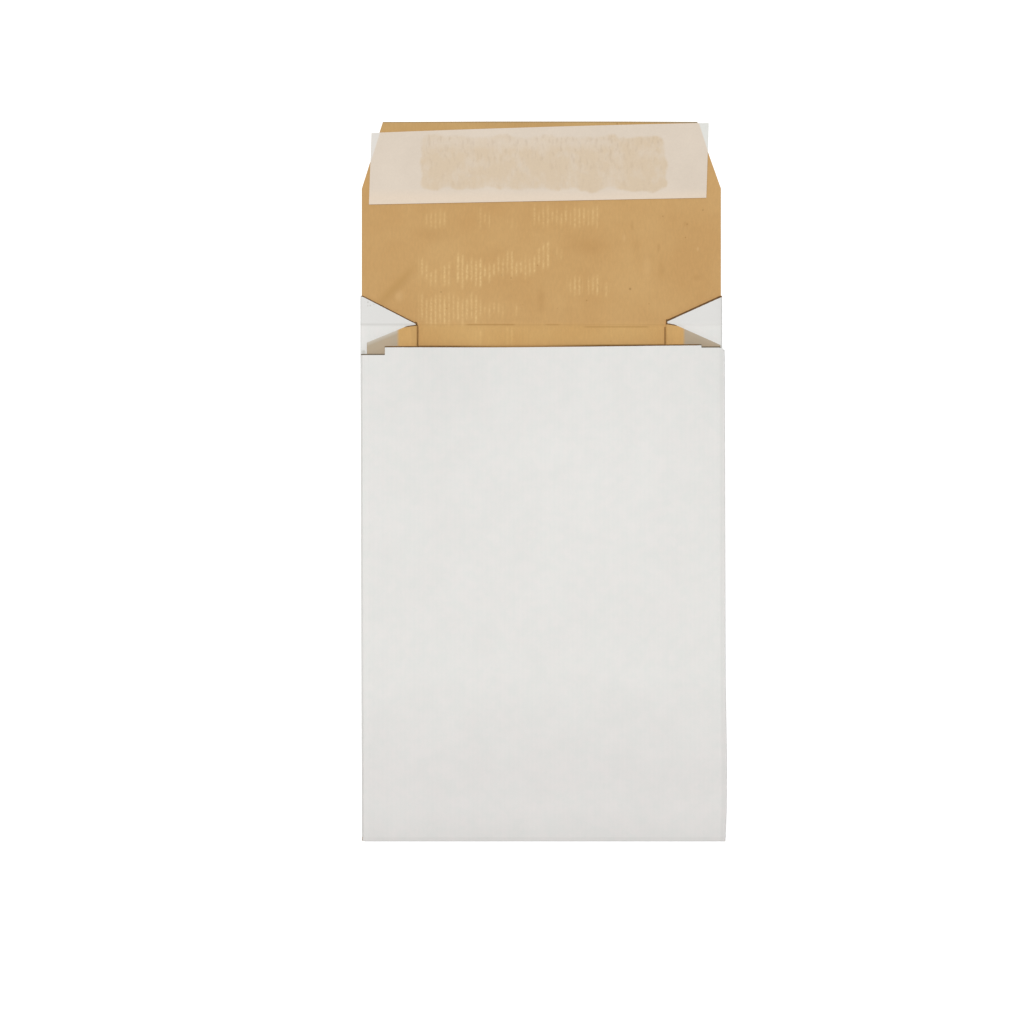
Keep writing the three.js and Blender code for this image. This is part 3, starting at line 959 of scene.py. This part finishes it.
paint("sag", sag)
press("sag", -4.1 * mm)

# Its long edges droop towards the side folds, and its end towards the bottom fold.
DROOP_X = 78.3 * mm
DROOP_Z = 5.7 * mm
paint("droop", lambda p: smooth(abs(p.x), DROOP_X, FLAT_X) if p.z > DROOP_Z else 0)
press("droop", -0.35 * mm)
foot_end = FOOT_TOP_Y + foot_rows
paint("foot", lambda p: min((foot_end - p.y) / foot_rows, 1) if p.z > 4.5 * mm else 0)
press("foot", -0.55 * mm)

# The pack was folded a trace out of square: wider and longer towards the bottom right, where the
# long edge bows out and in again at the corner.
paint("bowed", lambda p: smooth(p.x, 0, FLAT_X) * smooth(abs(p.y + 128 * mm), 45 * mm, 0))
press("bowed", 0.45 * mm, "X")
paint("drawn", lambda p: smooth(p.x, 0, FLAT_X) * smooth(p.y, -145 * mm, FOOT_Y))
press("drawn", -0.3 * mm, "X")
paint("askew", lambda p: (60 * mm - p.y) / (220 * mm))
press("askew", 0.65 * mm, "X")
paint("longer", lambda p: smooth(p.y, -60 * mm, -150 * mm))
press("longer", -0.2 * mm, "Y")

# The flap's tip is cut a trace round.
paint("rounded", lambda p: smooth(p.y, 150 * mm, TIP_Y) * smooth(abs(p.x - 6 * mm), 80 * mm, 20 * mm))
press("rounded", 0.2 * mm, "Y")

# Pale ridges where the flutes show through the inner liner, in ragged patches: left, right, bottom
# and top of each patch on the flap, and how strong it is.
FLUTE_PATCHES = (
    (-52, -42, 113.7, 121.3, 0.5),
    (-29, -23, 114.2, 121.8, 0.4),
    (-17, -11, 113.3, 117, 0.25),
    (-5, 25.5, 113.7, 122.2, 0.6),
    (-55, -50, 89.5, 98.9, 0.8),
    (-50, -46, 88.6, 94.9, 0.8),
    (-45, -40, 87.7, 97.2, 0.9),
    (-38.5, -34.5, 87.3, 103, 1),
    (-34.5, -26, 87.7, 98.9, 0.9),
    (-26, -20, 90, 98.2, 0.8),
    (-20, -13, 91.8, 102, 0.8),
    (-13, -2.5, 91.8, 99.4, 0.9),
    (-2.5, 4.5, 95, 106, 0.8),
    (7, 10, 98.9, 105.2, 0.4),
    (-55, -27.8, 70.3, 83.3, 0.8),
    (-27.8, -17, 73.9, 80.6, 0.5),
    (-13, -9.5, 73.9, 80.6, 0.5),
    (11.5, 19, 83.3, 90.9, 0.6),
    (21, 27, 83.3, 90.9, 0.7),
    (28, 31, 82.8, 88.6, 0.6),
    (-31, -13, 64.8, 67.6, 0.4),
)
FLUTE_LINES = COLUMNS // FLUTE_COLUMNS + 2
chance = random.Random(5)
# How many millimetres above its patch's foot and top each flute's mark ends, and its strength.
ends = [
    (chance.uniform(-1.6, 1.6), chance.uniform(-1.6, 1.6), chance.uniform(0.6, 1.1))
    for _ in range(FLUTE_LINES)
]


def flute_mark(p):
    """How strongly a place on the flap shows the ridge of a flute."""
    column = (p.x + FLAT_X) / FLUTE - 0.25
    line = round(column)
    aside = abs(column - line)
    if p.z > BOARD or aside > 0.3:
        return 0
    edge = 1 if aside < 0.05 else 0.3
    for left, right, bottom, top, strength in FLUTE_PATCHES:
        if left * mm < p.x < right * mm:
            low_end, high_end, force = ends[line]
            near_end = min(p.y - (bottom + low_end) * mm, (top + high_end) * mm - p.y)
            if near_end > 0:
                return strength * force * edge * smooth(near_end, -0.5 * mm, 2 * mm)
    return 0


def keep(group, name):
    """Copies a painted group into an attribute of that name, which materials can read."""
    marks = board.data.attributes.new(name, "FLOAT", "POINT")
    index = board.vertex_groups[group].index
    for corner in board.data.vertices:
        for member in corner.groups:
            if member.group == index:
                marks.data[corner.index].value = member.weight


paint("flutes", flute_mark)
keep("flutes", "flute_mark")
press("flutes", 0.03 * mm)

# A pressed score where the flap hinges, and a soft diagonal dent in the flap's lower left.
DENT_X = -65.3 * mm
DENT_Y = 87 * mm
DENT_TURN = math.radians(46)


def score(p):
    if p.z > CREASE_Z or p.z < BOARD / 4:
        return 0
    return max(1 - abs(p.y - SCORE_Y) / (1 * mm), 0)


def dent(p):
    if p.z > BOARD:
        return 0
    across, up = p.x - DENT_X, p.y - DENT_Y
    along = across * math.cos(DENT_TURN) + up * math.sin(DENT_TURN)
    aside = across * math.sin(DENT_TURN) - up * math.cos(DENT_TURN)
    return max(1 - abs(aside) / (3 * mm), 0) * smooth(abs(along), 17 * mm, 5 * mm)


paint("score", score)
press("score", 0.12 * mm)
paint("dent", dent)
keep("dent", "dent_shade")
press("dent", 0.3 * mm)

board.vertex_groups.new(name="white_side")
solid = board.modifiers.new("thickness", "SOLIDIFY")
solid.thickness = BOARD
solid.offset = 0
solid.material_offset = 1
solid.material_offset_rim = 2
solid.shell_vertex_group = "white_side"
bpy.ops.object.modifier_apply(modifier="thickness")
depth = board.data.attributes.new("depth", "FLOAT", "POINT")
for corner in board.data.vertices:
    depth.data[corner.index].value = len(corner.groups)
board.vertex_groups.clear()

# The mouth panel has slipped a little to the right over the address panel, as a pressed pack leans.
LEAN = 0.14
board.data.transform(
    Matrix.Translation((-LEAN * THICKNESS / 2, 0, 0)) @ Matrix.Shear("XY", 4, (LEAN, 0))
)
bpy.ops.object.shade_smooth_by_angle(angle=math.radians(35))
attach(board, "root")
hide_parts("folded_board_envelope")

bpy.ops.object.select_all(action="DESELECT")


# Release liner. A strip of thin waxed release paper lies over the adhesive band, set down by hand a
# little askew and past the flap's cut corners. The paper is so thin that the brown flap warms it,
# the adhesive shows as a darker patch, and past the flap it is nearly white.
LINER_LENGTH = Vector((151.05, 3.0, 0)) * mm  # along its lower edge
LINER_WIDTH = Vector((1.08, 32.06, 0)) * mm  # up its left edge
LINER_CORNER = Vector((-77.45, 123.74, 0)) * mm  # where those edges meet
LINER_FLARE = 1.5 * mm  # how much higher its upper right corner lies
LINER_SHEET = 0.15 * mm
LINER_BOTTOM = 1.0 * mm
FLAP_SHIFT = -0.4 * mm  # how far the pack's lean moves the flap
release, tree, out = new_material("thin_release_paper")
place = add(tree, "ShaderNodeTexCoord").outputs["Object"]
spot = add(tree, "ShaderNodeSeparateXYZ", {0: place})
clouds = add(tree, "ShaderNodeTexNoise", {"Vector": place, "Scale": 1 / (16 * mm), "Detail": 4})
cloudy = add(tree, "ShaderNodeMapRange", {0: clouds.outputs[0], 1: 0.35, 2: 0.65})
tone = add(
    tree,
    "ShaderNodeMix",
    {0: cloudy.outputs[0], 6: linear("#d8cab9"), 7: linear("#dccebd")},
    data_type="RGBA",
)
below = add(tree, "ShaderNodeMapRange", {0: spot.outputs[1], 1: 131 * mm, 2: 127 * mm})
tone = add(
    tree,
    "ShaderNodeMix",
    {0: below.outputs[0], 6: tone.outputs[2], 7: linear("#e1d0bc")},
    data_type="RGBA",
)
# The patch where the adhesive wets the paper: a rounded box with a wandering outline.
PATCH_X = 1.1 * mm
PATCH_Y = 142.2 * mm
PATCH_HALF_LENGTH = 51 * mm
PATCH_HALF_WIDTH = 8 * mm
PATCH_ROUND = 4 * mm
wander = add(tree, "ShaderNodeTexNoise", {"Vector": place, "Scale": 1 / (9 * mm), "Detail": 4})
centred = add(
    tree,
    "ShaderNodeVectorMath",
    {0: place, 1: (PATCH_X + FLAP_SHIFT, PATCH_Y, LINER_BOTTOM)},
    operation="SUBTRACT",
)
folded = add(tree, "ShaderNodeVectorMath", {0: centred.outputs[0]}, operation="ABSOLUTE")
past = add(
    tree,
    "ShaderNodeVectorMath",
    {0: folded.outputs[0], 1: (PATCH_HALF_LENGTH, PATCH_HALF_WIDTH, mm)},
    operation="SUBTRACT",
)
past = add(tree, "ShaderNodeVectorMath", {0: past.outputs[0], 1: (0, 0, 0)}, operation="MAXIMUM")
reach = add(tree, "ShaderNodeVectorMath", {0: past.outputs[0]}, operation="LENGTH")
ragged = add(
    tree,
    "ShaderNodeMath",
    {0: wander.outputs[0], 1: 6 * mm, 2: PATCH_ROUND - 3 * mm},
    operation="MULTIPLY_ADD",
)
inside = add(tree, "ShaderNodeMath", {0: ragged.outputs[0], 1: reach.outputs["Value"]}, operation="SUBTRACT")
wetted = add(tree, "ShaderNodeMapRange", {0: inside.outputs[0], 1: -0.5 * mm, 2: 0.8 * mm})
blots = add(
    tree,
    "ShaderNodeTexNoise",
    {"Vector": place, "Scale": 1 / (9 * mm), "Detail": 5, "Roughness": 0.6},
)
upright = add(tree, "ShaderNodeMapping", {"Vector": place, "Scale": (1, 0.4, 1)})
streaks = add(
    tree,
    "ShaderNodeTexNoise",
    {"Vector": upright.outputs[0], "Scale": 1 / (1.6 * mm), "Detail": 3, "Roughness": 0.6},
)
blots = add(tree, "ShaderNodeMix", {0: 0.3, 2: blots.outputs[0], 3: streaks.outputs[0]})
blotted = add(tree, "ShaderNodeMapRange", {0: blots.outputs[0], 1: 0.38, 2: 0.62, 3: 0.5, 4: 1.3})
wetness = add(tree, "ShaderNodeMath", {0: wetted.outputs[0], 1: blotted.outputs[0]}, operation="MULTIPLY")
# The upper edge of the band is starved of adhesive but for its right end.
edge = add(
    tree,
    "ShaderNodeMath",
    {0: wander.outputs[0], 1: 6 * mm, 2: spot.outputs[1]},
    operation="MULTIPLY_ADD",
)
starved = add(tree, "ShaderNodeMapRange", {0: edge.outputs[0], 1: 150.8 * mm, 2: 154 * mm})
full = add(tree, "ShaderNodeMapRange", {0: spot.outputs[0], 1: 38 * mm, 2: 28 * mm, 4: 0.5})
starved = add(tree, "ShaderNodeMath", {0: starved.outputs[0], 1: full.outputs[0]}, operation="MULTIPLY")
fed = add(tree, "ShaderNodeMath", {0: 1, 1: starved.outputs[0]}, operation="SUBTRACT")
wetness = add(tree, "ShaderNodeMath", {0: wetness.outputs[0], 1: fed.outputs[0]}, operation="MULTIPLY")
tone = add(
    tree,
    "ShaderNodeMix",
    {0: wetness.outputs[0], 6: tone.outputs[2], 7: linear("#d4c0a5")},
    data_type="RGBA",
)
# Short dark streaks in the wetted patch, most of them in its upper half.
dark_streak_noise = add(
    tree,
    "ShaderNodeTexNoise",
    {"Vector": upright.outputs[0], "Scale": 1 / (1.5 * mm), "Detail": 1},
)
dark_streaked = add(tree, "ShaderNodeMapRange", {0: dark_streak_noise.outputs[0], 1: 0.54, 2: 0.74, 4: 0.24})
upper = add(tree, "ShaderNodeMapRange", {0: spot.outputs[1], 1: 136 * mm, 2: 146 * mm, 3: 0.45})
dark_streaked = add(tree, "ShaderNodeMath", {0: dark_streaked.outputs[0], 1: upper.outputs[0]}, operation="MULTIPLY")
dark_streaked = add(tree, "ShaderNodeMath", {0: dark_streaked.outputs[0], 1: wetted.outputs[0]}, operation="MULTIPLY")
tone = add(
    tree,
    "ShaderNodeMix",
    {0: dark_streaked.outputs[0], 6: tone.outputs[2], 7: linear("#b39b80")},
    data_type="RGBA",
)
# Past the slanted corners of the flap nothing brown lies below.
BARE_PAPER = {-1: "#dfdad3", 1: "#dfdfd9"}
corner_run = Vector((CHAMFER_X - FLAT_X, TIP_Y - CHAMFER_Y, 0))
outward = Vector((corner_run.y, -corner_run.x, 0)).normalized()
for side in (-1, 1):
    away = add(
        tree,
        "ShaderNodeVectorMath",
        {0: place, 1: (side * CHAMFER_X + FLAP_SHIFT, TIP_Y, 0)},
        operation="SUBTRACT",
    )
    away = add(
        tree,
        "ShaderNodeVectorMath",
        {0: away.outputs[0], 1: (side * outward.x, outward.y, 0)},
        operation="DOT_PRODUCT",
    )
    bare = add(
        tree,
        "ShaderNodeMapRange",
        {0: away.outputs["Value"], 1: -0.2 * mm, 2: 0.35 * mm},
    )
    tone = add(
        tree,
        "ShaderNodeMix",
        {0: bare.outputs[0], 6: tone.outputs[2], 7: linear(BARE_PAPER[side])},
        data_type="RGBA",
    )
fibres = add(
    tree,
    "ShaderNodeTexNoise",
    {"Vector": place, "Scale": 1 / (0.8 * mm), "Detail": 3, "Roughness": 0.7},
)
fibrous = add(tree, "ShaderNodeMapRange", {0: fibres.outputs[0], 1: 0.25, 2: 0.75, 3: 0.97, 4: 1.03})
tone = add(
    tree,
    "ShaderNodeMix",
    {0: 1.0, 6: tone.outputs[2], 7: fibrous.outputs[0]},
    data_type="RGBA",
    blend_type="MULTIPLY",
)
bumps = add(tree, "ShaderNodeBump", {"Height": blots.outputs[0], "Strength": 0.2, "Distance": 0.2 * mm})
skin = add(
    tree,
    "ShaderNodeBsdfPrincipled",
    {
        "Base Color": tone.outputs[2],
        "Roughness": 0.55,
        "Specular IOR Level": 0.3,
        "Normal": bumps.outputs[0],
    },
)
tree.links.new(skin.outputs[0], out.inputs["Surface"])

bpy.ops.mesh.primitive_grid_add(x_subdivisions=100, y_subdivisions=24, size=1)
liner = bpy.context.object
liner.name = "release_liner_sheet"
paint("flare", lambda p: (p.x + 0.5 + 0.25 * (1 - 4 * p.x**2)) * (p.y + 0.5))
middle = LINER_CORNER + (LINER_LENGTH + LINER_WIDTH) / 2
liner.data.transform(
    Matrix.Translation(middle + Vector((0, 0, LINER_BOTTOM + LINER_SHEET / 2)))
    @ Matrix((LINER_LENGTH, LINER_WIDTH, (0, 0, 1))).transposed().to_4x4()
)
press("flare", LINER_FLARE, "Y")
solid = liner.modifiers.new("thickness", "SOLIDIFY")
solid.thickness = LINER_SHEET
solid.offset = 0
bpy.ops.object.modifier_apply(modifier="thickness")
liner.data.materials.append(release)
bpy.ops.object.shade_smooth_by_angle(angle=math.radians(35))
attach(liner, "root")
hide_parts("release_liner")
bpy.ops.object.select_all(action="DESELECT")


# Adhesive band. A film of amber hot-melt adhesive on the flap, hidden by the release liner; the CAD
# solid is its true shape, so it keeps it and gets the tacky, uneven look of the film.
adhesive, tree, out = new_material("amber_hot_melt_adhesive")
place = add(tree, "ShaderNodeTexCoord").outputs["Object"]
streaks = add(
    tree,
    "ShaderNodeTexNoise",
    {"Vector": place, "Scale": 1 / (4 * mm), "Detail": 4, "Roughness": 0.6},
)
tone = add(
    tree,
    "ShaderNodeMix",
    {0: streaks.outputs[0], 6: linear("#b88746"), 7: linear("#d6b174")},
    data_type="RGBA",
)
bumps = add(tree, "ShaderNodeBump", {"Height": streaks.outputs[0], "Strength": 0.4, "Distance": 0.2 * mm})
skin = add(
    tree,
    "ShaderNodeBsdfPrincipled",
    {
        "Base Color": tone.outputs[2],
        "Roughness": 0.3,
        "Coat Weight": 0.2,
        "Normal": bumps.outputs[0],
    },
)
tree.links.new(skin.outputs[0], out.inputs["Surface"])
band = bpy.data.objects["adhesive_band"]
band.data.materials.clear()
band.data.materials.append(adhesive)

bpy.context.scene.view_settings.view_transform = "Standard"
